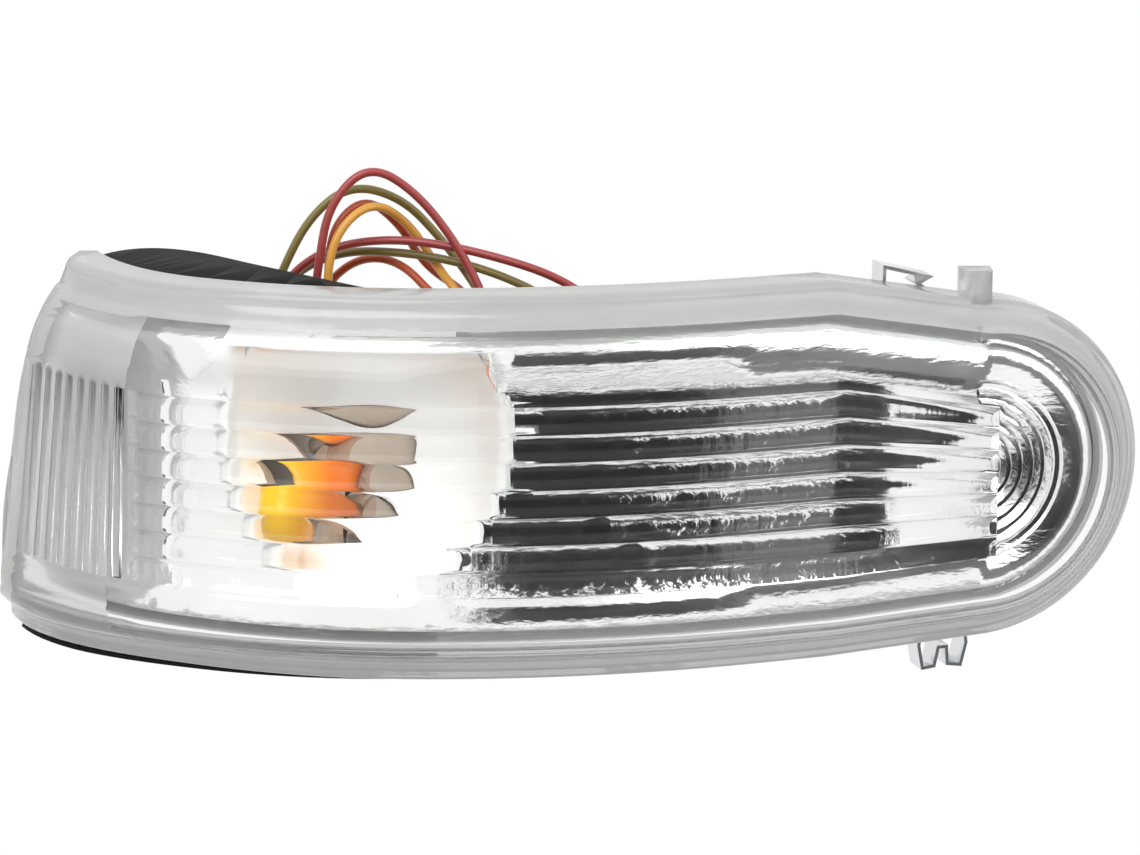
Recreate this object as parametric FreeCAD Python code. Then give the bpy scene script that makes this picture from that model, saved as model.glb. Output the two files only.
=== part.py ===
import FreeCAD, Part
import math
import os

V = FreeCAD.Vector

# Driving dimensions, in millimetres. The lamp is modelled with x along its length,
# y from the front of its lens to the back and z up; depth is measured back from the lens's face.
lens_height = 66.5
tip_height = 60.0
tip_middle = 31.2
apex_x = -23.5
lens_wall = 2.3
skirt_wall = 2.2
lens_depth = 17.0
shoulder_width = 16.0
step_top = 7.2
step_foot = 8.6
rim_width = 4.0
rim_round = 1.6
flute_count = 7
flute_rise = 0.8
flute_margin = 0.7
rib_radius = 0.9
rib_pitch = 3.2
rib_count = 9

# Plan of the lens's face, from its wrapped end to its tip
wrap_radius = 60.0
turn_radius = 110.0
sweep_radius = 190.0
turn_angle = 24.0
fluted_angle = 31.0
wrap_angle = 86.0
sweep_angle = 18.0
straight_length = 13.0
taper_length = 27.7

# Leaning wrapped end, on the plane where the end is widest, and the flat behind it
end_lean = 12.0
end_plane_y = 32.0
end_foot_x = -95.3
end_belly_x = -98.0
end_belly_z = 22.0
end_head_x = -88.4
end_overrun = 3.0
end_wall = 2.4
end_rear_y = 47.0

# Rear housing
housing_wall = 2.0
plug_gap = 0.3
flange_inset = 1.0
flange_thickness = 2.0
body_inset = 5.0
deep_depth = 30.0
shallow_depth = 23.0
deep_end_x = 4.0
chamber_side_x = -83.0
chamber_side_y = 42.0
chamber_front_x = -50.0
chamber_drop = 0.3
# Rear of the chamber's plan: each point, and which way it moves as the wall goes inwards
chamber_back = [
    (-79.5, 48.0, 0.7, -0.8), (-74.0, 50.5, 0.2, -1.0), (-68.0, 49.4, -0.3, -1.0),
    (-56.0, 39.6, -0.7, -0.8), (-46.0, 30.2, -0.7, -0.8), (-31.0, 16.5, -1.0, -0.6),
]
lip_drop = 1.4
lip_gap = 0.02
lip_full_x = -80.0
lip_end_x = -22.0
seal_thickness = 0.6

# Reflector
reflector_wall = 1.4
reflector_skirt = 1.0
reflector_gap = 0.3
reflector_floor = 12.0
reflector_crest = 8.8
strip_dip = 0.3
reflector_end = 5.4
bowl_x = -36.5
bowl_z = 41.0
bowl_radius = 26.7
bowl_vertex_y = 24.5
bowl_low_margin = 9.4
bowl_high_margin = 9.4
bulb_window = 12.0

# Bulb and its holder, on one slanted axis
bulb_tip = V(-50.5, 11.0, 27.5)
bulb_mouth = V(-38.2, 22.5, 32.7)
bulb_radius = 5.0
bulb_wall = 0.5
bulb_base_length = 7.0
base_thickness = 2.6
lead_offset = 2.4
lead_radius = 0.3
filament_post = 9.5
filament_width = 4.4
holder_radius = 8.4
holder_bore = 5.4
holder_clearance = 0.4
port_wall = 2.6
port_stand = 8.2
port_gap = 0.6
holder_flange = 2.2
holder_seal_thickness = 1.4
grip_length = 4.0
grip_thickness = 3.0
grip_offset = 3.6
contact_width = 3.0
contact_thickness = 0.25
contact_gap = 0.7
boot_radius = 5.0
boot_length = 5.0
outlet_radius = 3.4
outlet_top_z = 48.5

# Fixing boss, whose mouth is the part's origin
boss_x = -73.0
boss_z = 24.0
boss_mouth_y = 60.0
boss_length = 12.0
boss_radius = 4.2
boss_bore = 1.6
boss_bore_length = 12.0
gusset_thickness = 1.6

# Wires and connector
wire_radius = 0.75
plug_width = 13.0
plug_height = 20.0
plug_x = 12.7
plug_y = 53.0
plug_top_z = 14.0
collar_overhang = 1.0
collar_height = 3.0
latch_width = 4.5
latch_thickness = 1.2
latch_gap = 0.8
lock_thickness = 1.6
lock_height = 2.2
lock_rise = 8.2
terminal_length = 8.0
blade_width = 1.5
blade_thickness = 0.6
cavity_pitch = 3.5
cavity_size = 2.4
terminal_clearance = 0.1

# Spring clips
clip_thickness = 0.6
clip_width = 5.0
clip_gap = 0.3
clip_pad_length = 11.0
clip_pad_depth = 7.0
clip_pad_height = 5.0
upper_clip_back = 8.6
upper_clip_drop = 3.6
lower_clip_back = 0.8
lower_clip_rise = 0.3

# Vent and the lens's tab
vent_angle = 14.5
vent_rise = 6.8
vent_bore = 2.0
vent_cap_radius = 4.0
tab_back = 4.6
tab_width = 5.6
tab_depth = 4.0
tab_sink = 1.2
tab_height = 4.4

lens_middle = lens_height / 2
beyond = 300.0
holder_axis = (bulb_mouth - bulb_tip).normalize()
port_length = (deep_depth + port_stand - bulb_mouth.y) / holder_axis.y
origin = V(boss_x, boss_mouth_y, boss_z)


def polar(radius, degrees):
    a = math.radians(degrees)
    return radius * math.sin(a), radius * math.cos(a)


# Plan of the face: each arc's centre lies behind it, on the line through the joint with the next.
sweep_centre = V(apex_x, sweep_radius, 0)
turn_centre = V(apex_x, turn_radius, 0)
_dx, _dy = polar(turn_radius - wrap_radius, turn_angle)
wrap_centre = V(apex_x - _dx, turn_radius - _dy, 0)
_dx, _dy = polar(sweep_radius, sweep_angle)
straight_start = V(apex_x + _dx, sweep_radius - _dy, 0)
heading = V(math.cos(math.radians(sweep_angle)), math.sin(math.radians(sweep_angle)), 0)
inward = V(-heading.y, heading.x, 0)


def face_point(back):
    """Point of the straight stretch of the face, that far back from the tip's middle."""
    return straight_start + heading * (straight_length + taper_length - back)


def edge_heights(back):
    """Heights of the lens's lower and upper edges, that far back from the tip's middle."""
    share = max(0.0, min(1.0, 1 - back / taper_length))
    low = (tip_middle - tip_height / 2) * share
    high = lens_height + (tip_middle + tip_height / 2 - lens_height) * share
    return low, high


def on_arc(centre, radius, degrees, middle):
    """Places section points (u up from the middle, d back from the face) on an arc of the plan."""
    dx, dy = polar(1.0, degrees)
    return lambda u, d: V(centre.x + (radius - d) * dx, centre.y - (radius - d) * dy, middle + u)


def on_line(point, middle):
    return lambda u, d: V(point.x + inward.x * d, point.y + inward.y * d, middle + u)


def edges_of(profile, place, flip=1):
    out = []
    for item in profile:
        pts = [place(flip * u, d) for u, d in item]
        if len(pts) == 2:
            out.append(Part.LineSegment(pts[0], pts[1]).toShape())
        else:
            out.append(Part.Arc(*pts).toShape())
    return out


def full_face(half, place):
    """Face of a section that is the same above and below its middle."""
    if half[-1][-1][0] == 0:
        edges = edges_of(half, place) + edges_of(half, place, -1)
    else:
        (u, d) = half[-1][-1]
        edges = edges_of(half, place) + edges_of(half, place, -1)
        edges.append(Part.LineSegment(place(u, d), place(-u, d)).toShape())
    return Part.Face(Part.Wire(Part.__sortEdges__(edges)))


def half_face(half, place):
    """Face of the upper half of a section, closed along its middle."""
    first, last = half[0][0], half[-1][-1]
    edges = edges_of(half, place)
    if last[0] != 0:
        edges.append(Part.LineSegment(place(*last), place(0, last[1])).toShape())
        last = (0, last[1])
    edges.append(Part.LineSegment(place(*last), place(*first)).toShape())
    return Part.Face(Part.Wire(Part.__sortEdges__(edges)))


def turned(face, centre, degrees):
    return face.revolve(centre, V(0, 0, 1), degrees)


def lofted(half, start, end):
    wires = []
    for point, height, middle in ((start, lens_height, lens_middle), (end, tip_height, tip_middle)):
        wires.append(full_face(half(height), on_line(point, middle)).OuterWire)
    return Part.makeLoft(wires, True, True)


def fused(solids):
    shape = solids[0].fuse(solids[1:])
    return shape.removeSplitter()


def end_cutter(inset):
    """Everything beyond the lamp's leaning wrapped end, moved inwards by inset."""
    lean = V(*polar(1.0, end_lean), 0)
    reach = 90.0
    shift = V(inset, end_plane_y, 0) - lean * reach
    foot = V(end_foot_x, 0, -end_overrun) + shift
    belly = V(end_belly_x, 0, end_belly_z) + shift
    head = V(end_head_x, 0, lens_height + end_overrun) + shift
    far = V(-beyond, 0, 0)
    edges = [
        Part.Arc(foot, belly, head).toShape(),
        Part.LineSegment(head, head + far).toShape(),
        Part.LineSegment(head + far, foot + far).toShape(),
        Part.LineSegment(foot + far, foot).toShape(),
    ]
    side = Part.Face(Part.Wire(edges)).extrude(lean * (2 * reach))
    rear = Part.makeBox(beyond, beyond, beyond, V(apex_x - beyond, end_rear_y - inset, -beyond / 2))
    return [side, rear]


def lamp_body(half, inset, plain=None):
    """Solid of one section carried along the plan and cut at the wrapped end.

    The section is plain where the plan wraps round and where it turns about the tip.
    """
    start = half(lens_height)
    plain = plain or half
    wrap = plain(lens_height)
    wrapped = full_face(wrap, on_arc(wrap_centre, wrap_radius, -wrap_angle, lens_middle))
    fluted = full_face(start, on_arc(wrap_centre, wrap_radius, -fluted_angle, lens_middle))
    bent = full_face(start, on_arc(turn_centre, turn_radius, -turn_angle, lens_middle))
    swept = full_face(start, on_arc(sweep_centre, sweep_radius, 0, lens_middle))
    level = full_face(start, on_line(straight_start, lens_middle))
    taper_point = face_point(taper_length)
    tip_point = face_point(0)
    tip = half_face(plain(tip_height), on_line(tip_point, tip_middle))
    solids = [
        turned(wrapped, wrap_centre, wrap_angle - fluted_angle),
        turned(fluted, wrap_centre, fluted_angle - turn_angle),
        turned(bent, turn_centre, turn_angle),
        turned(swept, sweep_centre, sweep_angle),
        level.extrude(taper_point - straight_start),
        lofted(half, taper_point, tip_point),
        tip.revolve(tip_point + V(0, 0, tip_middle), inward, 180),
    ]
    return fused(solids).cut(end_cutter(inset))


def tangent_arc(start, end):
    """Arc that leaves start along the face and ends at end, as three section points."""
    run, rise = end[0] - start[0], end[1] - start[1]
    radius = (run * run + rise * rise) / (2 * rise)
    half = math.asin(run / radius) / 2
    return start, (start[0] + radius * math.sin(half), start[1] + radius * (1 - math.cos(half))), end


def outer_half(height):
    a = height / 2
    shoulder = (a - shoulder_width, 0)
    step = (a - rim_width - 0.2, step_top)
    ledge = (a - rim_round, step_foot + 1.0)
    side = (a, step_foot + 1.0 + rim_round)
    bend = rim_round * (1 - math.sqrt(0.5))
    return [
        ((0, 0), shoulder),
        tangent_arc(shoulder, step),
        (step, (a - rim_width, step_foot)),
        ((a - rim_width, step_foot), ledge),
        (ledge, (a - bend, ledge[1] + bend), side),
        (side, (a, lens_depth)),
    ]


def flute_pitch(height):
    return (height / 2 - shoulder_width - flute_margin) / (flute_count / 2)


def inner_rim(height):
    a = height / 2
    start = (flute_count / 2 * flute_pitch(height), lens_wall)
    knee = (a - rim_width - lens_wall, step_foot + 1.3)
    corner = (a - skirt_wall, step_foot + lens_wall + 0.7)
    return [tangent_arc(start, knee), (knee, corner), (corner, (a - skirt_wall, lens_depth + 1))]


def fluted_half(height):
    p = flute_pitch(height)
    crest = lens_wall + flute_rise
    quarter = lens_wall + flute_rise * 0.75
    out = [((0, crest), (p / 4, quarter), (p / 2, lens_wall))]
    for k in range(flute_count // 2):
        u = p / 2 + k * p
        out.append(((u, lens_wall), (u + p / 4, quarter), (u + p / 2, crest)))
        out.append(((u + p / 2, crest), (u + p * 0.75, quarter), (u + p, lens_wall)))
    return out + inner_rim(height)


def smooth_half(height):
    edge = flute_count / 2 * flute_pitch(height)
    return [((0, lens_wall), (edge, lens_wall))] + inner_rim(height)


def box_half(inset, front, back):
    """Section of a plain block of the lamp's outline, inset all round."""
    return lambda height: [
        ((0, front), (height / 2 - inset, front)),
        ((height / 2 - inset, front), (height / 2 - inset, back)),
    ]


def outer_lens():
    shell = lamp_body(outer_half, 0).cut(lamp_body(fluted_half, end_wall, smooth_half))
    reach = flute_count / 2 * flute_pitch(lens_height)
    ribs = []
    for i in range(rib_count):
        angle = fluted_angle + math.degrees((i + 0.7) * rib_pitch / wrap_radius)
        place = on_arc(wrap_centre, wrap_radius, -angle, lens_middle)
        ribs.append(Part.makeCylinder(rib_radius, 2 * reach, place(-reach, lens_wall)))
    at = face_point(tab_back)
    foot = edge_heights(tab_back)[1] - tab_sink
    corner = V(at.x - tab_width / 2, at.y + step_foot + rim_round, foot)
    tab = Part.makeBox(tab_width, tab_depth, tab_sink + tab_height, corner).common(outside_skirt())
    return shell.fuse(ribs + [tab]).removeSplitter()


def outside_skirt():
    """Everything above the middle of the lens's skirt wall."""
    block = Part.makeBox(beyond, beyond, beyond, V(apex_x, -beyond / 2, lens_middle))
    return block.cut(lamp_body(box_half(skirt_wall / 2, -1, lens_depth + 1), 0))


def reflector_half(height):
    """Section of the bright insert, with a shallow strip behind each flute of the lens."""
    p = flute_pitch(height)
    dip = reflector_floor + strip_dip
    quarter = reflector_floor + strip_dip * 0.75
    out = [((0, dip), (p / 4, quarter), (p / 2, reflector_floor))]
    for k in range(flute_count // 2):
        u = p / 2 + k * p
        out.append(((u, reflector_floor), (u + p / 4, quarter), (u + p / 2, dip)))
        out.append(((u + p / 2, dip), (u + p * 0.75, quarter), (u + p, reflector_floor)))
    return out + reflector_border(height)


def reflector_plain(height):
    edge = flute_count / 2 * flute_pitch(height)
    return [((0, reflector_floor), (edge, reflector_floor))] + reflector_border(height)


def reflector_border(height):
    """Crest, ring and skirt round the insert's floor, and its back."""
    a = height / 2
    edge = flute_count / 2 * flute_pitch(height)
    ring = plug_front() - reflector_wall
    skirt_end = lens_depth - reflector_gap
    outside = a - skirt_wall - reflector_gap
    back = reflector_floor + strip_dip + reflector_wall
    points = [
        (edge, reflector_floor),
        (a - 9.0, reflector_crest),
        (a - 7.4, ring),
        (outside, ring),
        (outside, skirt_end),
        (outside - reflector_skirt, skirt_end),
        (outside - reflector_skirt, ring + reflector_wall - reflector_gap),
        (a - 8.0, ring + reflector_wall - reflector_gap),
        (a - 9.6, reflector_crest + 2.2),
        (edge + 0.3, back),
        (0, back),
    ]
    return list(zip(points, points[1:]))


def plug_inset():
    """How far the housing's plug lies inside the lens's outline, within lens and reflector."""
    return skirt_wall + reflector_gap + reflector_skirt + plug_gap


def plug_front():
    return step_foot + lens_wall + 3.0


def reflector():
    depth = bowl_vertex_y - reflector_floor
    radius = (bowl_radius ** 2 + depth ** 2) / (2 * depth)
    centre = V(bowl_x, bowl_vertex_y - radius, bowl_z)
    outside = Part.makeSphere(radius + reflector_wall, centre).common(bowl_slab(reflector_wall))
    inside = Part.makeSphere(radius, centre).common(bowl_slab(0))
    behind = lamp_body(box_half(flange_inset, reflector_floor, deep_depth), reflector_end)
    hole = along_axis(holder_radius + holder_clearance, -bulb_window, port_length)
    strips = lamp_body(reflector_half, reflector_end, reflector_plain)
    return strips.fuse(outside.common(behind)).cut([inside, hole])


def bowl_slab(margin):
    """Level block that cuts the bowl flat above and below."""
    low = bowl_low_margin - margin
    height = lens_height - bowl_high_margin - bowl_low_margin + 2 * margin
    return Part.makeBox(beyond, beyond, height, V(bowl_x - beyond / 2, -beyond / 2, low))


def along_axis(radius, start, end, inner=0):
    """Tube or rod on the holder's axis, between two distances from the bulb's mouth."""
    rod = Part.makeCylinder(radius, end - start, bulb_mouth + holder_axis * start, holder_axis)
    if inner:
        foot = bulb_mouth + holder_axis * (start - 1)
        rod = rod.cut(Part.makeCylinder(inner, end - start + 2, foot, holder_axis))
    return rod


def housing_shell(inset, front, depth_deep, depth_shallow, margin, end_inset):
    """Block of the housing behind the lens: deep round the bulb, shallow towards the tip."""
    deep = lamp_body(box_half(inset, front, depth_deep), end_inset)
    limit = Part.makeBox(beyond, beyond, beyond, V(deep_end_x - margin, -beyond / 2, -beyond / 2))
    shallow = lamp_body(box_half(inset, front, depth_shallow), end_inset)
    return deep.cut(limit).fuse(shallow)


def chamber(offset):
    """Full-height chamber behind the wrapped half, its plan drawn inwards by offset."""
    side, front = chamber_side_x + offset, V(chamber_front_x, lens_depth - 5, 0)
    back = [V(side, chamber_side_y, 0)]
    for x, y, dx, dy in chamber_back:
        back.append(V(x + dx * offset, y + dy * offset, 0))
    curve = Part.BSplineCurve()
    curve.interpolate(back)
    start = V(side, lens_depth, 0)
    edges = [curve.toShape()]
    for first, last in ((back[-1], front), (front, start), (start, back[0])):
        edges.append(Part.LineSegment(first, last).toShape())
    low, high = body_inset + offset, lens_height - chamber_drop - offset
    room = Part.Face(Part.Wire(edges)).extrude(V(0, 0, high - low)).translated(V(0, 0, low))
    return room.cut(lamp_body(box_half(-1, -2, lens_depth + seal_thickness + offset), -4))


def rear_housing():
    front = plug_front()
    seat = lens_depth + seal_thickness
    plug = lamp_body(box_half(plug_inset(), front, seat), end_wall + plug_gap)
    flange = lamp_body(box_half(flange_inset, seat, seat + flange_thickness), flange_inset)
    body = housing_shell(body_inset, seat, deep_depth, shallow_depth, 0, end_wall)
    plug_room = lamp_body(
        box_half(plug_inset() + housing_wall, front - 1, seat), end_wall + plug_gap + housing_wall
    )
    room = housing_shell(
        body_inset + housing_wall, lens_depth, deep_depth - housing_wall, shallow_depth - housing_wall,
        housing_wall, end_wall + housing_wall,
    )
    back = chamber(0)
    back_room = chamber(housing_wall)
    lip = lower_lip(seat)
    boss_start = boss_mouth_y - boss_length
    boss = Part.makeCylinder(boss_radius, boss_mouth_y - boss_start, V(boss_x, boss_start, boss_z), V(0, 1, 0))
    gussets = []
    for dx, dz in ((1, 0), (-1, 0), (0, 1), (0, -1)):
        gussets.append(boss_gusset(dx, dz))
    inside_y = bowl_vertex_y + reflector_wall + port_gap
    port = along_axis(holder_radius + holder_clearance + port_wall, 0, port_length)
    port = port.cut(Part.makeBox(beyond, beyond, beyond, V(-beyond / 2, inside_y - beyond, -beyond / 2)))
    upper, lower = upper_clip_seat(), lower_clip_seat()
    pads = [
        clip_pad(upper_clip_back, upper - clip_pad_height, upper),
        clip_pad(lower_clip_back, lower, lower + clip_pad_height),
    ]
    solid = plug.fuse([flange, body, back, lip, boss, port] + gussets + pads)
    bore = Part.makeCylinder(
        boss_bore, boss_bore_length, V(boss_x, boss_mouth_y - boss_bore_length, boss_z), V(0, 1, 0)
    )
    port_bore = along_axis(holder_radius + holder_clearance, 0, port_length + 5)
    vent = vent_rod(vent_bore, shallow_depth - housing_wall - 1, shallow_depth + 1)
    return solid.cut([plug_room, room, back_room, bore, port_bore, vent]).removeSplitter()


def vent_rod(radius, start, end):
    """Rod square to the rear wall at the vent, between two depths."""
    place = on_arc(sweep_centre, sweep_radius, vent_angle, lens_middle)
    low, high = place(vent_rise, start), place(vent_rise, end)
    return Part.makeCylinder(radius, end - start, low, high - low)


def upper_clip_seat():
    return edge_heights(upper_clip_back)[1] - upper_clip_drop


def lower_clip_seat():
    return edge_heights(lower_clip_back)[0] + lower_clip_rise


def clip_place(back):
    """Places clip points (s along the lens, z up) at a depth behind the flange."""
    at = face_point(back)
    return lambda along, depth, z: at + heading * along + inward * depth + V(0, 0, z)


def clip_depth():
    return lens_depth + seal_thickness + flange_thickness + clip_gap


def clip_pad(back, low, high):
    place = clip_place(back)
    front = clip_depth() - clip_gap - flange_thickness / 2
    half = clip_pad_length / 2
    corners = ((-half, low), (half, low), (half, high), (-half, high))
    points = [place(along, front, z) for along, z in corners]
    return Part.Face(Part.makePolygon(points + [points[0]])).extrude(inward * clip_pad_depth)


def lower_lip(seat):
    """Thin lip under the lens's wrapped half, fading out at the middle."""
    def half(height):
        a = height / 2
        return [((0, seat - 6), (a + lip_drop, seat - 6)), ((a + lip_drop, seat - 6), (a + lip_drop, seat + 2))]
    front = -beyond / 2
    strip = lamp_body(half, flange_inset)
    above = Part.makeBox(beyond, beyond, beyond, V(-beyond / 2, front, -lip_gap))
    points = [
        V(lip_full_x, front, -2 * lip_drop), V(lip_full_x, front, -lip_drop), V(lip_end_x, front, -lip_gap),
        V(beyond, front, -lip_gap), V(beyond, front, -2 * lip_drop),
    ]
    wedge = Part.Face(Part.makePolygon(points + [points[0]])).extrude(V(0, beyond, 0))
    lip = strip.cut([above, wedge])
    tie = lamp_body(box_half(-0.1, seat + 0.2, seat + flange_thickness), flange_inset)
    width = lip_end_x - 10 - (apex_x - beyond)
    band = tie.common(Part.makeBox(width, beyond, body_inset / 2, V(apex_x - beyond, front, -0.1)))
    return lip.fuse(band)


def boss_gusset(dx, dz):
    """Tapered rib from the boss to the rear wall."""
    foot_y = boss_mouth_y - boss_length
    base = V(boss_x, foot_y, boss_z)
    side = V(dx, 0, dz)
    across = V(dz, 0, dx) * (gusset_thickness / 2)
    points = [
        base,
        base + side * (boss_radius + 4.5),
        base + side * (boss_radius + 0.4) + V(0, boss_length - 2.5, 0),
        base + V(0, boss_length - 2.5, 0),
    ]
    corners = [p - across for p in points]
    return Part.Face(Part.makePolygon(corners + [corners[0]])).extrude(across * 2)


def lens_seal():
    seat = lens_depth + seal_thickness
    ring = lamp_body(box_half(flange_inset, lens_depth, seat), flange_inset)
    return ring.cut(lamp_body(box_half(plug_inset(), lens_depth - 1, seat + 1), end_wall + plug_gap))


def bulb_profile(radius, tip, mouth):
    """Turned outline of the bulb's envelope, along +Z from its tip."""
    dome = [
        Part.Arc(V(0, 0, tip), V(radius * 0.72, 0, tip + radius * 0.32), V(radius, 0, tip + radius)).toShape(),
        Part.LineSegment(V(radius, 0, tip + radius), V(radius, 0, mouth - 3)).toShape(),
        Part.Arc(V(radius, 0, mouth - 3), V(radius * 0.93, 0, mouth - 1), V(radius * 0.78, 0, mouth)).toShape(),
        Part.LineSegment(V(radius * 0.78, 0, mouth), V(0, 0, mouth)).toShape(),
        Part.LineSegment(V(0, 0, mouth), V(0, 0, tip)).toShape(),
    ]
    return Part.Face(Part.Wire(dome)).revolve(V(0, 0, 0), V(0, 0, 1), 360)


def on_axis(shape, distance):
    """Moves a shape made along +Z to the bulb's axis, distance from the tip."""
    turn = FreeCAD.Rotation(V(0, 0, 1), holder_axis)
    placed = shape.copy()
    placed.Placement = FreeCAD.Placement(bulb_tip + holder_axis * distance, turn)
    return placed


def glass_length():
    return (bulb_mouth - bulb_tip).Length


def bulb_glass():
    length = glass_length() + 1.5
    envelope = bulb_profile(bulb_radius, 0, length)
    hollow = bulb_profile(bulb_radius - bulb_wall, bulb_wall, length - 1.5)
    width = 2 * bulb_radius - 1.0
    start = V(-width / 2, -base_thickness / 2, length - 1.0)
    base = Part.makeBox(width, base_thickness, bulb_base_length, start)
    grooves = []
    for side in (-1, 1):
        for face in (-1, 1):
            foot = V(side * lead_offset, face * (base_thickness / 2 + 0.1), length + 1)
            grooves.append(Part.makeCylinder(0.5, bulb_base_length, foot))
    return on_axis(envelope.cut(hollow).fuse(base).cut(grooves), 0)


def bulb_filament():
    foot = glass_length() - filament_post
    posts = []
    for side in (-1, 1):
        at = V(side * filament_width / 2, 0, foot)
        posts.append(Part.makeCylinder(0.25, filament_post, at))
        posts.append(Part.makeSphere(0.35, at))
    coil = Part.makeCylinder(0.45, filament_width, V(-filament_width / 2, 0, foot), V(1, 0, 0))
    return on_axis(coil.fuse(posts), 0)


def bulb_leads():
    start = glass_length() + 2.1
    leads = []
    for side in (-1, 1):
        foot = V(side * lead_offset, side * (base_thickness / 2 + lead_radius + 0.05), start)
        leads.append(Part.makeCylinder(lead_radius, bulb_base_length - 1.5, foot))
    return on_axis(Part.makeCompound(leads), 0)


def bulb_holder():
    neck = along_axis(holder_radius, 0, port_length + 0.5)
    front = port_length + holder_seal_thickness
    rear = front + holder_flange
    flange = along_axis(holder_radius + port_wall + 0.6, front, rear)
    core = along_axis(holder_radius - 1.2, port_length, rear + grip_length)
    grips = []
    reach = holder_radius + 1.0
    for side in (-1, 1):
        start = V(side * grip_offset - grip_thickness / 2, -reach, 0)
        wing = Part.makeBox(grip_thickness, 2 * reach, grip_length, start)
        grips.append(on_axis(wing, glass_length() + rear))
    socket = along_axis(holder_bore, -1, 3.0)
    solid = neck.fuse([flange, core] + grips)
    across, deep = 2 * bulb_radius + 0.6, base_thickness + 2.4
    slot = Part.makeBox(across, deep, bulb_base_length + 1.0, V(-across / 2, -deep / 2, 2.5))
    notches = []
    for turn in (45, 135):
        cut = Part.makeBox(2 * holder_radius + 4, 1.6, 3.0, V(-holder_radius - 2, -0.8, 0))
        cut.rotate(V(0, 0, 0), V(0, 0, 1), turn)
        notches.append(on_axis(cut, glass_length() - 0.01))
    return solid.cut([socket, on_axis(slot, glass_length())] + notches)


def contact(side):
    """Folded spring contact that presses on one face of the bulb's base."""
    inner = side * (base_thickness / 2 + contact_gap)
    outer = inner + side * contact_thickness
    low, high = 3.2, bulb_base_length + 3.2
    points = [V(0, outer, low), V(0, outer, high), V(0, inner, high), V(0, inner, low)]
    plate = Part.Face(Part.makePolygon(points + [points[0]])).extrude(V(contact_width, 0, 0))
    shift = -contact_width - 1.2 if side > 0 else 1.2
    return on_axis(plate.translated(V(shift, 0, 0)), glass_length())


def holder_seal():
    end = port_length + holder_seal_thickness
    return along_axis(holder_radius + port_wall - 0.9, port_length, end, holder_radius + 0.15)


def boot_end():
    return port_length + holder_seal_thickness + holder_flange + grip_length


def wire_boot():
    start = boot_end()
    boot = along_axis(boot_radius, start, start + boot_length)
    middle = bulb_mouth + holder_axis * (start + boot_length / 2)
    outlet = Part.makeCylinder(outlet_radius, outlet_top_z - middle.z, middle)
    return boot.fuse(outlet.cut(along_axis(4 * boot_radius, 0, start)))


def rounded_path(points):
    """Straight runs joined by tangent arcs, each as large as its two runs allow."""
    edges, radii, last = [], [], points[0]
    for before, corner, after in zip(points, points[1:], points[2:]):
        a, b = (before - corner).normalize(), (after - corner).normalize()
        turn = math.pi - a.getAngle(b)
        shorter = min((before - corner).Length, (after - corner).Length)
        cut = 0.45 * shorter
        radii.append(cut / math.tan(turn / 2))
        start, end = corner + a * cut, corner + b * cut
        middle = corner + (a + b).normalize() * (radii[-1] * (1 / math.cos(turn / 2) - 1))
        edges.append(Part.LineSegment(last, start).toShape())
        edges.append(Part.Arc(start, middle, end).toShape())
        last = end
    edges.append(Part.LineSegment(last, points[-1]).toShape())
    return Part.Wire(edges), radii


def wire_tube(name, points):
    path, radii = rounded_path([V(*p) for p in points])
    start, nxt = V(*points[0]), V(*points[1])
    ring = Part.Wire(Part.Circle(start, nxt - start, wire_radius).toShape())
    tube = path.makePipeShell([ring], True, False)
    ratio = tube.Volume / (math.pi * wire_radius ** 2 * path.Length)
    print(name, "length", round(path.Length, 1), "volume ratio", round(ratio, 4))
    print(name, "radii", [round(r, 1) for r in radii])
    return tube


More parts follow.
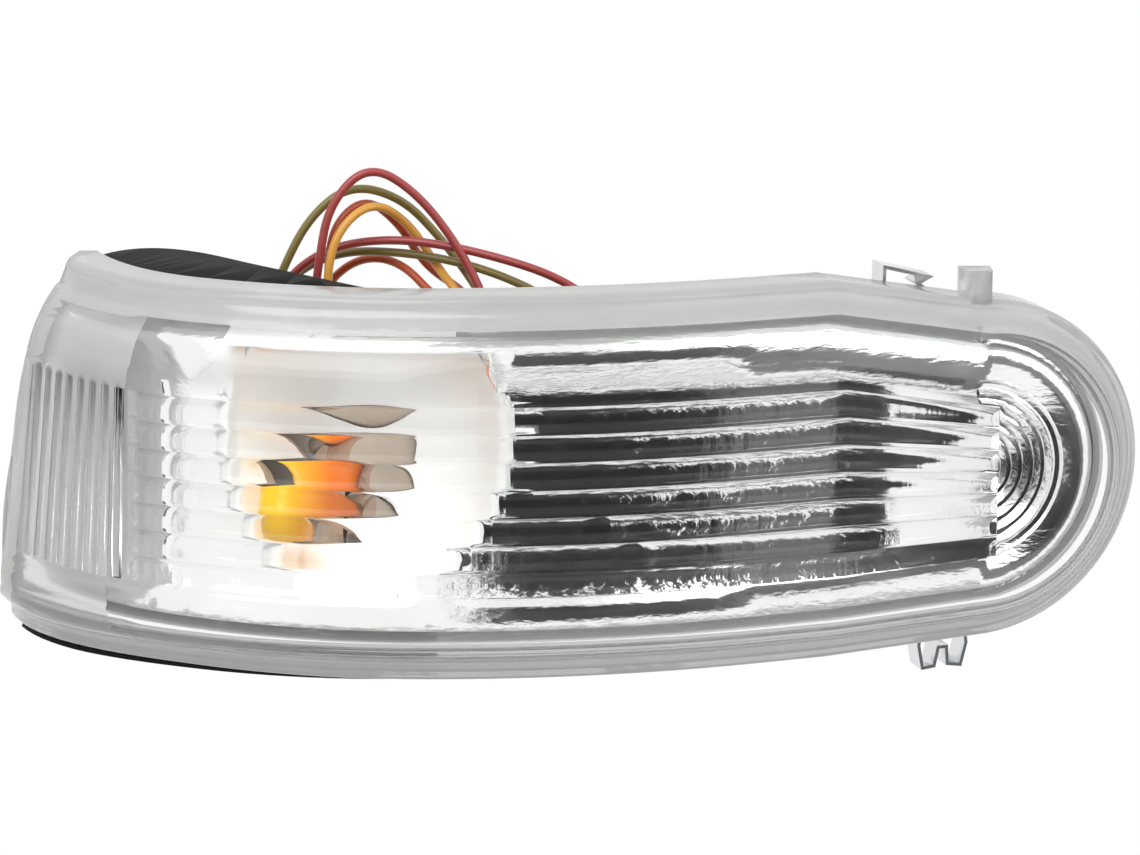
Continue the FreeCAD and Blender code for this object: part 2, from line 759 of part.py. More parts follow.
# Routes of the four wires, from the boot over the lamp's top edge, round behind it and down to the connector
routes = {
    "red_wire": [
        (-13.1, 44.1, 48.5), (-13.1, 44.1, 55.6), (-18.0, 47.6, 65.8), (-25.9, 48.6, 76.4), (-34.4, 47.4, 81.8),
        (-41.2, 45.4, 75.0), (-43.1, 44.2, 64.5), (-44.2, 44.0, 55.5), (-43.6, 44.8, 48.0), (-47.6, 49.0, 44.6),
        (-51.6, 53.2, 48.4), (-51.2, 53.0, 58.2), (-43.0, 52.5, 65.6), (-30.8, 50.6, 68.1), (-15.8, 47.6, 66.4),
        (1.2, 45.0, 61.4), (12.4, 46.4, 50.0), (15.8, 49.4, 36.5), (14.45, 51.25, 23.5), (14.45, 51.25, 14.0),
    ],
    "olive_wire": [
        (-13.1, 46.1, 48.5), (-13.1, 46.1, 55.4), (-16.6, 51.4, 60.2), (-22.2, 54.6, 67.2), (-28.8, 52.2, 74.8),
        (-37.6, 49.4, 77.8), (-44.8, 48.0, 72.2), (-49.6, 47.0, 63.0), (-52.2, 46.8, 55.5), (-51.6, 47.4, 48.4),
        (-52.2, 53.2, 45.0), (-52.6, 59.0, 48.4), (-51.4, 58.4, 57.4), (-41.4, 55.6, 64.6), (-27.8, 51.6, 65.3),
        (-13.8, 48.2, 63.0), (-0.8, 46.6, 57.0), (8.8, 48.4, 46.4), (12.6, 52.0, 35.0), (14.45, 54.75, 23.5),
        (14.45, 54.75, 14.0),
    ],
    "yellow_wire": [
        (-15.1, 44.1, 48.5), (-15.1, 44.1, 55.2), (-19.6, 46.8, 59.6), (-23.4, 53.6, 63.2), (-27.8, 52.8, 70.4),
        (-33.8, 48.0, 75.2), (-40.0, 44.4, 70.4), (-41.8, 42.9, 61.4), (-41.0, 42.3, 52.6), (-40.0, 42.8, 44.6),
        (-38.8, 48.6, 41.0), (-37.4, 54.4, 44.4), (-35.4, 54.8, 53.0), (-28.3, 50.6, 57.3), (-20.8, 45.0, 54.0),
        (-12.0, 40.4, 49.8), (-1.8, 42.4, 42.4), (5.4, 46.4, 33.6), (10.95, 51.25, 24.5), (10.95, 51.25, 14.0),
    ],
    "brown_wire": [
        (-15.1, 46.1, 48.5), (-15.1, 46.1, 55.2), (-17.8, 51.8, 58.0), (-25.2, 57.4, 61.6), (-29.2, 55.2, 69.4),
        (-35.0, 50.2, 75.4), (-40.6, 47.0, 71.0), (-41.7, 45.8, 62.0), (-41.0, 46.6, 55.0), (-41.4, 46.8, 48.6),
        (-42.8, 52.8, 45.2), (-44.2, 58.8, 48.8), (-43.4, 59.2, 57.2), (-36.8, 57.4, 63.2), (-29.2, 54.0, 63.2),
        (-22.4, 46.8, 57.4), (-12.8, 39.8, 54.4), (-1.4, 41.6, 47.4), (6.2, 48.4, 36.8), (10.95, 54.75, 25.5),
        (10.95, 54.75, 14.0),
    ],
}


def connector_housing():
    low = plug_top_z - plug_height
    half = plug_width / 2
    rear = plug_y + half
    block = Part.makeBox(plug_width, plug_width, plug_height, V(plug_x - half, plug_y - half, low))
    block = block.makeFillet(1.0, [e for e in block.Edges if abs(e.tangentAt(0).z) > 0.9])
    wide = plug_width + 2 * collar_overhang
    corner = V(plug_x - wide / 2, plug_y - wide / 2, plug_top_z - 2 * collar_height)
    collar = Part.makeBox(wide, wide, collar_height, corner)
    left = plug_x - latch_width / 2
    start = low + 2
    latch = Part.makeBox(latch_width, latch_thickness, plug_top_z - 1 - start, V(left, rear + latch_gap, start))
    root = Part.makeBox(latch_width, latch_gap + latch_thickness, 2.2, V(left, rear - 0.1, start))
    barb = Part.makeBox(latch_width, 1.0, 2.0, V(left, rear + latch_gap + latch_thickness, low + 8))
    slot_width = plug_width - 3.0
    corner = V(plug_x - slot_width / 2, plug_y - half - 1, low + lock_rise - 0.2)
    slot = Part.makeBox(slot_width, 1 + lock_thickness + 0.4, lock_height + 0.4, corner)
    return block.fuse([collar, latch, root, barb]).cut(cavities(cavity_size) + [slot])


def cavity_centres():
    half = cavity_pitch / 2
    return [(plug_x + i * half, plug_y + j * half) for i in (-1, 1) for j in (-1, 1)]


def cavities(size):
    low = plug_top_z - plug_height
    out = []
    for x, y in cavity_centres():
        out.append(Part.makeBox(size, size, plug_height - 3.0, V(x - size / 2, y - size / 2, low - 1)))
    return out


def connector_terminals():
    out = []
    size = cavity_size - 2 * terminal_clearance
    start = plug_top_z - 4.0 - terminal_length
    for x, y in cavity_centres():
        body = Part.makeBox(size, size, terminal_length, V(x - size / 2, y - size / 2, start))
        corner = V(x - blade_width / 2, y - blade_thickness / 2, plug_top_z - plug_height + 1.5)
        blade = Part.makeBox(blade_width, blade_thickness, terminal_length, corner)
        out.append(body.fuse(blade))
    return Part.makeCompound(out)


def connector_lock():
    width = plug_width - 3.4
    corner = V(plug_x - width / 2, plug_y - plug_width / 2 - 0.4, plug_top_z - plug_height + lock_rise)
    return Part.makeBox(width, lock_thickness, lock_height, corner)


def strip_solid(points, place):
    """Bent metal strip of even thickness along points (s along the lens, z up)."""
    t = clip_thickness / 2
    left, right = [], []
    for i, (x, z) in enumerate(points):
        before = points[max(i - 1, 0)]
        after = points[min(i + 1, len(points) - 1)]
        a = V(x - before[0], z - before[1], 0)
        b = V(after[0] - x, after[1] - z, 0)
        a = a.normalize() if a.Length else b.normalize()
        b = b.normalize() if b.Length else a
        n = V(-(a.y + b.y), a.x + b.x, 0).normalize()
        scale = t / max(n.dot(V(-a.y, a.x, 0)), 0.35)
        left.append(place(x + n.x * scale, clip_depth(), z + n.y * scale))
        right.append(place(x - n.x * scale, clip_depth(), z - n.y * scale))
    outline = left + right[::-1]
    return Part.Face(Part.makePolygon(outline + [outline[0]])).extrude(inward * clip_width)


def upper_clip():
    seat = upper_clip_seat() + clip_thickness / 2
    path = [
        (-3.2, seat), (0.8, seat), (2.8, seat + 1.6), (0.8, seat + 3.0),
        (2.9, seat + 4.0), (-5.4, seat + 6.3), (-5.5, seat + 2.8), (-3.0, seat + 2.0),
    ]
    return strip_solid(path, clip_place(upper_clip_back))


def lower_clip():
    seat = lower_clip_seat() - clip_thickness / 2
    path = [
        (-2.4, seat), (-4.8, seat), (-5.4, seat - 4.0), (-4.6, seat - 8.2), (-2.4, seat - 8.0),
        (-1.7, seat - 4.6), (-0.1, seat - 4.6), (0.1, seat - 7.8), (2.6, seat - 8.2), (3.6, seat - 4.2),
        (3.0, seat), (0.0, seat),
    ]
    return strip_solid(path, clip_place(lower_clip_back))


def vent_cap():
    stem = vent_rod(vent_bore - 0.1, shallow_depth - housing_wall - 0.5, shallow_depth + 1.2)
    return stem.fuse(vent_rod(vent_cap_radius, shallow_depth + 0.3, shallow_depth + 2.1))


def export(name, shape):
    solids = shape.Solids
    placed = solids[0].copy() if len(solids) == 1 else Part.makeCompound([s.copy() for s in solids])
    placed.translate(V(0, 0, 0) - origin)
    box = placed.BoundBox
    size = [round(v, 1) for v in (box.XLength, box.YLength, box.ZLength)]
    print(name, "solids", len(solids), "valid", placed.isValid(), "volume", round(placed.Volume, 1), size)
    placed.exportStep(os.path.join("parts", name + ".step"))


def main():
    os.makedirs("parts", exist_ok=True)
    export("outer_lens", outer_lens())
    export("reflector", reflector())
    export("rear_housing", rear_housing())
    export("lens_seal", lens_seal())
    export("bulb_glass", bulb_glass())
    export("bulb_filament", bulb_filament())
    export("bulb_leads", bulb_leads())
    export("bulb_holder", bulb_holder())
    export("contact_upper", contact(1))
    export("contact_lower", contact(-1))
    export("holder_seal", holder_seal())
    export("wire_boot", wire_boot())
    for name, points in routes.items():
        export(name, wire_tube(name, points))
    export("connector_housing", connector_housing())
    export("connector_lock", connector_lock())
    export("connector_terminals", connector_terminals())
    export("upper_clip", upper_clip())
    export("lower_clip", lower_clip())
    export("vent_cap", vent_cap())


main()
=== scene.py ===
import bpy
import math
from mathutils import Matrix, Vector


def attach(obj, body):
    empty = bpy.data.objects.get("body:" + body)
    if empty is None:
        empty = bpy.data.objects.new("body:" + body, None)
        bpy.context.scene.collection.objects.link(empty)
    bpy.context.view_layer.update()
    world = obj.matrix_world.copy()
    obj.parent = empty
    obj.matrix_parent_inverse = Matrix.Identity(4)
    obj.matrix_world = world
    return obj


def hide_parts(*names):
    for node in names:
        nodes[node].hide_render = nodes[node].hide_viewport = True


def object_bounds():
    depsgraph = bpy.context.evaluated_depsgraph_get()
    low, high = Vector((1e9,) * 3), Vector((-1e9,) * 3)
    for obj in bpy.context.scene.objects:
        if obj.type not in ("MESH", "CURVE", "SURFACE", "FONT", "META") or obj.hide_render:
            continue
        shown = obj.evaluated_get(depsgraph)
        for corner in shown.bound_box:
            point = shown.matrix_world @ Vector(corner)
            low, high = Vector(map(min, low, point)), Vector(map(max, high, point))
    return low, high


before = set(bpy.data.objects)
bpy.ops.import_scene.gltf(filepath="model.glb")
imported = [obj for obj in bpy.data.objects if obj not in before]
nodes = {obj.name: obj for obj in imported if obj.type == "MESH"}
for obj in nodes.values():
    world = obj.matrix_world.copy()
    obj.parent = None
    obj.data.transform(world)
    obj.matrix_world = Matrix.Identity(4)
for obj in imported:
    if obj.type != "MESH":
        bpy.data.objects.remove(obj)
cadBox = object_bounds()
root = "root"
mm = 0.001
lampZero = Vector((73.0, -60.0, -24.0))  # from the screw boss to the lens's foot under its foremost point
print("frame loaded")


def place(x, y, z):  # lamp millimetres to frame metres
    return (Vector((x, y, z)) + lampZero) * mm


# Node groups that several finishes share

def newGroup(name, inputs, outputs):
    tree = bpy.data.node_groups.new(name, "ShaderNodeTree")
    for label, kind, value in inputs:
        socket = tree.interface.new_socket(label, in_out="INPUT", socket_type=kind)
        socket.default_value = value
    for label, kind in outputs:
        tree.interface.new_socket(label, in_out="OUTPUT", socket_type=kind)
    return tree, tree.nodes.new("NodeGroupInput"), tree.nodes.new("NodeGroupOutput")


grain = {"detail": 6.0, "slowScale": 90.0, "reliefDepth": 0.2 * mm}


def buildGrain(v):  # moulded or rubbery skin: fine grain height, and a slow drift of the colour
    tree, start, end = newGroup(
        "mouldedGrain",
        [("Color", "NodeSocketColor", (0.5, 0.5, 0.5, 1)), ("Scale", "NodeSocketFloat", 2500.0),
         ("Stretch", "NodeSocketVector", (1, 1, 1)),
         ("Drift", "NodeSocketFloat", 0.1), ("Roughness", "NodeSocketFloat", 0.5)],
        [("Color", "NodeSocketColor"), ("Roughness", "NodeSocketFloat"), ("Height", "NodeSocketFloat")],
    )
    link = tree.links.new
    where = tree.nodes.new("ShaderNodeTexCoord")
    fine = tree.nodes.new("ShaderNodeTexNoise")
    slow = tree.nodes.new("ShaderNodeTexNoise")
    slow.inputs["Scale"].default_value = v["slowScale"]
    fine.inputs["Detail"].default_value = v["detail"]
    drawn = tree.nodes.new("ShaderNodeVectorMath")  # grain drawn out along one axis
    drawn.operation = "MULTIPLY"
    link(where.outputs["Object"], drawn.inputs[0])
    link(start.outputs["Stretch"], drawn.inputs[1])
    link(drawn.outputs[0], fine.inputs["Vector"])
    link(where.outputs["Object"], slow.inputs["Vector"])
    link(start.outputs["Scale"], fine.inputs["Scale"])
    swing = tree.nodes.new("ShaderNodeMath")
    swing.operation = "MULTIPLY_ADD"  # (noise - 0.5) x 2 x drift + 1
    half = tree.nodes.new("ShaderNodeMath")
    half.operation = "SUBTRACT"
    half.inputs[1].default_value = 0.5
    link(slow.outputs["Fac"], half.inputs[0])
    twice = tree.nodes.new("ShaderNodeMath")
    twice.operation = "MULTIPLY"
    twice.inputs[1].default_value = 2.0
    link(half.outputs[0], twice.inputs[0])
    link(twice.outputs[0], swing.inputs[0])
    link(start.outputs["Drift"], swing.inputs[1])
    swing.inputs[2].default_value = 1.0
    tint = tree.nodes.new("ShaderNodeVectorMath")
    tint.operation = "SCALE"
    link(start.outputs["Color"], tint.inputs[0])
    link(swing.outputs[0], tint.inputs["Scale"])
    rough = tree.nodes.new("ShaderNodeMath")
    rough.operation = "MULTIPLY"
    link(start.outputs["Roughness"], rough.inputs[0])
    link(swing.outputs[0], rough.inputs[1])
    link(tint.outputs[0], end.inputs["Color"])
    link(rough.outputs[0], end.inputs["Roughness"])
    link(fine.outputs["Fac"], end.inputs["Height"])
    return tree


mouldedGrain = buildGrain(grain)


def newMaterial(name, **values):
    mat = bpy.data.materials.new(name)
    mat.use_nodes = True
    shader = mat.node_tree.nodes["Principled BSDF"]
    for key, value in values.items():
        shader.inputs[key.replace("_", " ")].default_value = value
    return mat, mat.node_tree, shader


def grained(name, color, scale, drift, roughness, bump, stretch=(1, 1, 1), **values):
    mat, tree, shader = newMaterial(name, **values)
    skin = tree.nodes.new("ShaderNodeGroup")
    skin.node_tree = mouldedGrain
    skin.inputs["Color"].default_value = (*color, 1)
    skin.inputs["Scale"].default_value = scale
    skin.inputs["Stretch"].default_value = stretch
    skin.inputs["Drift"].default_value = drift
    skin.inputs["Roughness"].default_value = roughness
    relief = tree.nodes.new("ShaderNodeBump")
    relief.inputs["Strength"].default_value = bump
    relief.inputs["Distance"].default_value = grain["reliefDepth"]
    tree.links.new(skin.outputs["Color"], shader.inputs["Base Color"])
    tree.links.new(skin.outputs["Roughness"], shader.inputs["Roughness"])
    tree.links.new(skin.outputs["Height"], relief.inputs["Height"])
    tree.links.new(relief.outputs["Normal"], shader.inputs["Normal"])
    return mat


def throughLight(mat, tree, shader, tint):  # lamps shine through the clear piece
    passing = tree.nodes.new("ShaderNodeBsdfTransparent")
    passing.inputs["Color"].default_value = tint
    path = tree.nodes.new("ShaderNodeLightPath")
    mix = tree.nodes.new("ShaderNodeMixShader")
    tree.links.new(path.outputs["Is Shadow Ray"], mix.inputs["Fac"])
    tree.links.new(shader.outputs["BSDF"], mix.inputs[1])
    tree.links.new(passing.outputs["BSDF"], mix.inputs[2])
    tree.links.new(mix.outputs["Shader"], tree.nodes["Material Output"].inputs["Surface"])
    return mat


# Finishes

finishes = {
    "housing": {
        "color": (0.006, 0.006, 0.0065), "scale": 1500.0, "drift": 0.25, "roughness": 0.6, "bump": 0.5,
        "Specular_IOR_Level": 0.12,
    },
    "rubber": {"color": (0.02, 0.02, 0.02), "scale": 2400.0, "drift": 0.2, "roughness": 0.7, "bump": 0.25},
    "holder": {"color": (0.46, 0.37, 0.29), "scale": 1800.0, "drift": 0.12, "roughness": 0.45, "bump": 0.15},
    "plug": {"color": (0.02, 0.02, 0.022), "scale": 1600.0, "drift": 0.2, "roughness": 0.42, "bump": 0.2},
    "lock": {"color": (0.5, 0.5, 0.48), "scale": 1600.0, "drift": 0.08, "roughness": 0.4, "bump": 0.15},
}
housingPlastic = grained("housingPlastic", **finishes["housing"])
sealRubber = grained("sealRubber", **finishes["rubber"])
holderPlastic = grained("holderPlastic", **finishes["holder"])
plugPlastic = grained("plugPlastic", **finishes["plug"])
lockPlastic = grained("lockPlastic", **finishes["lock"])


clear = {
    "shader": {
        "Base_Color": (0.985, 0.99, 0.985, 1), "Roughness": 0.015, "IOR": 1.34, "Transmission_Weight": 1.0,
    },
    "shadowTint": (0.97, 0.98, 0.97, 1),
}
# painted shade: the grey that the clear lens shows at its thick rim and end, painted into these faces'
# colour
rimGreyShade = {
    "skin": {"color": (0.63, 0.64, 0.63), "scale": 500.0, "drift": 0.05, "roughness": 0.12, "bump": 0.03},
    "shader": {"IOR": 1.49, "Transmission_Weight": 0.45},
    "shadowTint": (0.8, 0.8, 0.8, 1),
}
amber = {
    "shader": {"Roughness": 0.1, "IOR": 1.5, "Transmission_Weight": 0.12, "Specular_IOR_Level": 0.2},
    "shadowTint": (1.0, 0.88, 0.66, 1),
    "tip": (1.0, 0.58, 0.0, 1), "foot": (0.86, 0.19, 0.0, 1), "tipX": 25.5 * mm, "footX": 33.5 * mm,
}


def clearPlastic(v):
    mat, tree, shader = newMaterial("clearPlastic", **v["shader"])
    return throughLight(mat, tree, shader, v["shadowTint"])


def rimShadePlastic(v):  # painted shade: the thick rim, the end wall and its ribs are painted a grey, half-clear plastic for the grey that the clear walls show seen edge-on
    mat = grained("rimShadePlastic", **v["skin"], **v["shader"])
    tree = mat.node_tree
    return throughLight(mat, tree, tree.nodes["Principled BSDF"], v["shadowTint"])


def amberGlass(v):  # lacquered amber, yellower towards the bulb's tip and deeper orange-red towards its foot
    mat, tree, shader = newMaterial("amberGlass", **v["shader"])
    where = tree.nodes.new("ShaderNodeTexCoord")
    split = tree.nodes.new("ShaderNodeSeparateXYZ")
    tree.links.new(where.outputs["Object"], split.inputs[0])
    along = tree.nodes.new("ShaderNodeMapRange")
    along.inputs["From Min"].default_value = v["tipX"]
    along.inputs["From Max"].default_value = v["footX"]
    tree.links.new(split.outputs["X"], along.inputs["Value"])
    blend = tree.nodes.new("ShaderNodeMix")
    blend.data_type = "RGBA"
    blend.inputs[6].default_value = v["tip"]
    blend.inputs[7].default_value = v["foot"]
    tree.links.new(along.outputs["Result"], blend.inputs["Factor"])
    tree.links.new(blend.outputs[2], shader.inputs["Base Color"])
    return throughLight(mat, tree, shader, v["shadowTint"])


metals = {
    "bright": {
        "color": (0.95, 0.95, 0.95), "scale": 900.0, "roughness": 0.1, "bump": 0.5, "stretch": (0.3, 1, 1),
        "Metallic": 1.0,
    },
    "bowl": {"color": (0.96, 0.96, 0.95), "scale": 500.0, "roughness": 0.42, "bump": 0.1, "Metallic": 0.45},
    "steel": {"color": (0.72, 0.73, 0.75), "scale": 900.0, "roughness": 0.18, "bump": 0.05, "Metallic": 1.0},
    "brass": {"color": (0.72, 0.5, 0.22), "scale": 900.0, "roughness": 0.3, "bump": 0.05, "Metallic": 1.0},
    "grey": {"color": (0.35, 0.35, 0.36), "scale": 900.0, "roughness": 0.35, "bump": 0.05, "Metallic": 1.0},
}
metalDrift = 0.03
lensPlastic = clearPlastic(clear)
rimShadeMaterial = rimShadePlastic(rimGreyShade)
bulbAmber = amberGlass(amber)
brightCoating = grained("brightCoating", drift=metalDrift, **metals["bright"])
bowlCoating = grained("bowlCoating", drift=metalDrift, **metals["bowl"])
springSteel = grained("springSteel", drift=metalDrift, **metals["steel"])
stampedBrass = grained("stampedBrass", drift=metalDrift, **metals["brass"])
tungsten = grained("tungsten", drift=metalDrift, **metals["grey"])
print("finishes made")


# Leaning wrapped end: the pieces there are drawn out at the foot and in at the head, all by the same shift

endLean = {
    "start": -63.0, "full": -90.0,  # along the lamp, where the shift begins and is whole
    "shifts": [(-4.0, -9.0), (3.0, -7.0), (6.0, -5.2), (9.0, -3.3), (14.0, -1.7), (24.0, -0.9), (34.0, 0.6),
               (42.0, 1.0), (52.0, 1.8), (70.0, 1.9)],  # height, shift
}


def leanShift(x, z):
    share = min(1.0, max(0.0, (endLean["start"] - x) / (endLean["start"] - endLean["full"])))
    share = share * share * (3 - 2 * share)  # eases in and out
    table = endLean["shifts"]
    shift = table[0][1] if z < table[0][0] else table[-1][1]
    for (low, a), (high, b) in zip(table, table[1:]):
        if low <= z <= high:
            shift = a + (b - a) * (z - low) / (high - low)
    return share * shift


def leanEnd(mesh):
    for vertex in mesh.vertices:
        here = vertex.co / mm - lampZero
        vertex.co.x += leanShift(here.x, here.z) * mm


# Pieces that keep the solid's shape, with soft shading between its facets

sharpAngle = math.radians(32.0)
sameSpot = 0.002 * mm


def dressed(node, name, mat, leaning=False, evenShading=False):
    mesh = nodes[node].data.copy()
    mesh.name = name
    piece = bpy.data.objects.new(name, mesh)
    bpy.context.scene.collection.objects.link(piece)
    weld = piece.modifiers.new("weld", "WELD")
    weld.merge_threshold = sameSpot
    made = bpy.data.meshes.new_from_object(piece.evaluated_get(bpy.context.evaluated_depsgraph_get()))
    piece.modifiers.clear()
    piece.data = made
    made.name = name
    if leaning:
        leanEnd(made)
    made.shade_smooth()
    made.set_sharp_from_angle(angle=sharpAngle)
    if evenShading:  # large facets outweigh the slivers beside them
        piece.modifiers.new("even", "WEIGHTED_NORMAL").keep_sharp = True
        made = bpy.data.meshes.new_from_object(piece.evaluated_get(bpy.context.evaluated_depsgraph_get()))
        piece.modifiers.clear()
        piece.data = made
        made.name = name
    made.materials.clear()
    made.materials.append(mat)
    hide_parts(node)
    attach(piece, root)
    return piece


# Camera

cameraView = {
    "target": (0.5, 12.0, 43.8), "distance": 700.0, "elevation": 14.5, "focal": 132.4, "clip": (0.05, 20.0),
}


def makeCamera(v):
    data = bpy.data.cameras.new("photoCamera")
    camera = bpy.data.objects.new("photoCamera", data)
    bpy.context.scene.collection.objects.link(camera)
    target = place(*v["target"])
    tilt = math.radians(v["elevation"])
    camera.location = target + Vector((0, -math.cos(tilt), math.sin(tilt))) * (v["distance"] * mm)
    camera.rotation_euler = (math.radians(90) - tilt, 0, 0)
    data.lens = v["focal"]
    data.clip_start, data.clip_end = v["clip"]
    bpy.context.scene.camera = camera


makeCamera(cameraView)
print("camera set")


# Wires: the same routes as the solids, drawn as one smooth line each

wire = {
    "diameter": 1.5, "steps": 8, "alongSteps": 10,
    "skin": {"scale": 700.0, "drift": 0.12, "roughness": 0.34, "bump": 0.08},
    "shader": {"Coat_Weight": 0.2, "Coat_Roughness": 0.25},
}
wireRoutes = {
    "red": [
        (-13.1, 44.1, 48.5), (-13.1, 44.1, 55.6), (-18.0, 47.6, 65.8), (-25.9, 48.6, 76.4),
        (-34.4, 47.4, 81.8), (-41.2, 45.4, 75.0), (-43.1, 44.2, 64.5), (-44.2, 44.0, 55.5),
        (-43.6, 44.8, 48.0), (-47.6, 49.0, 44.6), (-51.6, 53.2, 48.4), (-51.2, 53.0, 58.2),
        (-43.0, 52.5, 65.6), (-30.8, 50.6, 68.1), (-15.8, 47.6, 66.4), (1.2, 45.0, 61.4),
        (12.4, 46.4, 50.0), (15.8, 49.4, 36.5), (14.45, 51.25, 23.5), (14.45, 51.25, 14.0),
    ],
    "olive": [
        (-13.1, 46.1, 48.5), (-13.1, 46.1, 55.4), (-16.6, 51.4, 60.2), (-22.2, 54.6, 67.2),
        (-28.8, 52.2, 74.8), (-37.6, 49.4, 77.8), (-44.8, 48.0, 72.2), (-49.6, 47.0, 63.0),
        (-52.2, 46.8, 55.5), (-51.6, 47.4, 48.4), (-52.2, 53.2, 45.0), (-52.6, 59.0, 48.4),
        (-51.4, 58.4, 57.4), (-41.4, 55.6, 64.6), (-27.8, 51.6, 65.3), (-13.8, 48.2, 63.0),
        (-0.8, 46.6, 57.0), (8.8, 48.4, 46.4), (12.6, 52.0, 35.0), (14.45, 54.75, 23.5),
        (14.45, 54.75, 14.0),
    ],
    "yellow": [
        (-15.1, 44.1, 48.5), (-15.1, 44.1, 55.2), (-19.6, 46.8, 59.6), (-23.4, 53.6, 63.2),
        (-27.8, 52.8, 70.4), (-33.8, 48.0, 75.2), (-40.0, 44.4, 70.4), (-41.8, 42.9, 61.4),
        (-41.0, 42.3, 52.6), (-40.0, 42.8, 44.6), (-38.8, 48.6, 41.0), (-37.4, 54.4, 44.4),
        (-35.4, 54.8, 53.0), (-28.3, 50.6, 57.3), (-20.8, 45.0, 54.0), (-12.0, 40.4, 49.8),
        (-1.8, 42.4, 42.4), (5.4, 46.4, 33.6), (10.95, 51.25, 24.5), (10.95, 51.25, 14.0),
    ],
    "brown": [
        (-15.1, 46.1, 48.5), (-15.1, 46.1, 55.2), (-17.8, 51.8, 58.0), (-25.2, 57.4, 61.6),
        (-29.2, 55.2, 69.4), (-35.0, 50.2, 75.4), (-40.6, 47.0, 71.0), (-41.7, 45.8, 62.0),
        (-41.0, 46.6, 55.0), (-41.4, 46.8, 48.6), (-42.8, 52.8, 45.2), (-44.2, 58.8, 48.8),
        (-43.4, 59.2, 57.2), (-36.8, 57.4, 63.2), (-29.2, 54.0, 63.2), (-22.4, 46.8, 57.4),
        (-12.8, 39.8, 54.4), (-1.4, 41.6, 47.4), (6.2, 48.4, 36.8), (10.95, 54.75, 25.5),
        (10.95, 54.75, 14.0),
    ],
}
wireColors = {
    "red": (0.36, 0.05, 0.045), "olive": (0.21, 0.165, 0.04),
    "yellow": (0.74, 0.36, 0.05), "brown": (0.5, 0.09, 0.03),
}


def makeWire(color, points):
    curve = bpy.data.curves.new(color + "Wire", "CURVE")
    curve.dimensions = "3D"
    line = curve.splines.new("NURBS")
    line.points.add(len(points) - 1)
    for knot, p in zip(line.points, points):
        knot.co = (*place(*p), 1)
    line.order_u = 3
    line.use_endpoint_u = True
    line.resolution_u = wire["alongSteps"]
    curve.bevel_depth = wire["diameter"] / 2 * mm
    curve.bevel_resolution = wire["steps"]
    curve.use_fill_caps = True
    curve.materials.append(grained(color + "Vinyl", wireColors[color], **wire["skin"], **wire["shader"]))
    piece = bpy.data.objects.new(color + "Wire", curve)
    bpy.context.scene.collection.objects.link(piece)
    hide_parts(color + "_wire")
    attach(piece, root)
    return piece


plugBody = dressed("connector_housing", "plugBody", plugPlastic)
plugLock = dressed("connector_lock", "plugLock", lockPlastic)
plugTerminals = dressed("connector_terminals", "plugTerminals", stampedBrass)
for color, points in wireRoutes.items():
    piece = makeWire(color, points)
print("wires laid")


# Plan of the lens, for what is told by its distance from the outline

outline = {
    "height": 66.5, "tipHeight": 60.0, "tipMiddle": 31.2, "taper": 27.7, "straight": 40.7,
    "sweepStart": -23.5, "sweepRadius": 190.0, "sweepAngle": math.radians(18.0),
}
wrappedEnd = {
    "planeY": 32.0, "lean": math.radians(12.0),
    "arc": [(-95.3, -3.0), (-98.0, 22.0), (-88.4, 69.5)],  # foot, belly and head
}
heading = Vector((math.cos(outline["sweepAngle"]), math.sin(outline["sweepAngle"]), 0))
inward = Vector((-heading.y, heading.x, 0))
straightStart = Vector((outline["sweepStart"], outline["sweepRadius"], 0)) - inward * outline["sweepRadius"]
tipPoint = straightStart + heading * outline["straight"]


def rimDistance(here):  # how far a point lies inside the lens's outline, seen square to its face
    back = (tipPoint - Vector((here.x, here.y, 0))).dot(heading)
    if back < 0:
        return outline["tipHeight"] / 2 - math.hypot(back, here.z - outline["tipMiddle"])
    share = max(0.0, 1 - back / outline["taper"])
    middle = outline["height"] / 2 + (outline["tipMiddle"] - outline["height"] / 2) * share
    half = outline["height"] / 2 + (outline["tipHeight"] / 2 - outline["height"] / 2) * share
    return half - abs(here.z - middle)


def endDistance(here):  # how far a point lies inside the leaning end, whose edge is the arc's parabola
    (x0, z0), (x1, z1), (x2, z2) = wrappedEnd["arc"]
    z = here.z
    edge = x0 * (z - z1) * (z - z2) / ((z0 - z1) * (z0 - z2))
    edge += x1 * (z - z0) * (z - z2) / ((z1 - z0) * (z1 - z2))
    edge += x2 * (z - z0) * (z - z1) / ((z2 - z0) * (z2 - z1))
    edge += (here.y - wrappedEnd["planeY"]) * math.tan(wrappedEnd["lean"])
    return here.x - leanShift(here.x, here.z) - edge


# where the lens takes the painted grey shade
rimShadeZone = {"rimWidth": 4.8, "rimReach": 6.3, "endWall": 3.4, "ribs": 24.0, "innerSide": -0.3}


def paintRimShade(piece, mat, v):  # painted shade: the rim, the wrapped end's wall and its ribs take the grey rim plastic
    mesh = piece.data
    mesh.materials.append(mat)
    for face in mesh.polygons:
        centre = face.center / mm - lampZero
        near = min(rimDistance(mesh.vertices[i].co / mm - lampZero) for i in face.vertices)
        onRim = near < v["rimWidth"] and rimDistance(centre) < v["rimReach"]
        fromEnd = endDistance(centre)
        onRibs = fromEnd < v["ribs"] and face.normal.x > v["innerSide"]
        if onRim or onRibs or fromEnd < v["endWall"]:
            face.material_index = 1


bowlPlace = {"x": -36.5, "z": 41.0, "radius": 27.5, "floor": 12.4, "back": 36.0, "forward": -0.1}


def fromBowl(here):  # distance from the bowl's middle, seen from the front
    return math.hypot(here.x - bowlPlace["x"], here.z - bowlPlace["z"])


def coatBowl(piece, v):
    piece.data.materials.append(bowlCoating)
    for face in piece.data.polygons:
        centre = face.center / mm - lampZero
        if centre.y > v["floor"] and fromBowl(centre) < v["radius"]:
            face.material_index = 1


